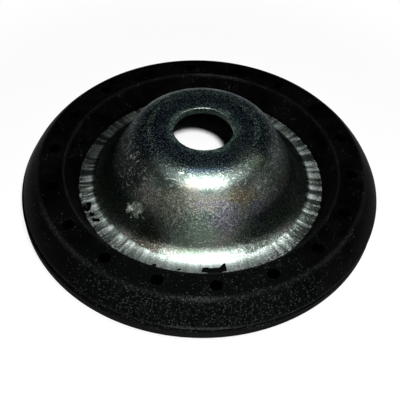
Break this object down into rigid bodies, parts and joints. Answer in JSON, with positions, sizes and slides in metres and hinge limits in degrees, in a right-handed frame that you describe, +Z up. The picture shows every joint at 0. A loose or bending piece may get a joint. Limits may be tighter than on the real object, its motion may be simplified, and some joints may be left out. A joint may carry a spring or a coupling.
{
  "type": "spring plate",
  "caption": "Upper suspension spring plate: a pressed steel dome with a central rod hole, its flange bonded into a moulded rubber ring that seats the coil spring.",
  "frame": {"origin": "middle of the flat face of the rubber collar and bead that the plate stands on", "axes": "+Z up along the axis, towards the top of the steel dome; +X and +Y across the ring"},
  "size_m": [0.162, 0.162, 0.0396],
  "materials": {
    "zinc_plated_steel": "pressed sheet, zinc plated and passivated, worn",
    "moulded_rubber": "moulded black rubber, satin, with dust"
  },
  "bodies": {
    "root": {"steel_plate": "zinc_plated_steel", "rubber_ring": "moulded_rubber"}
  },
  "joints": []
}
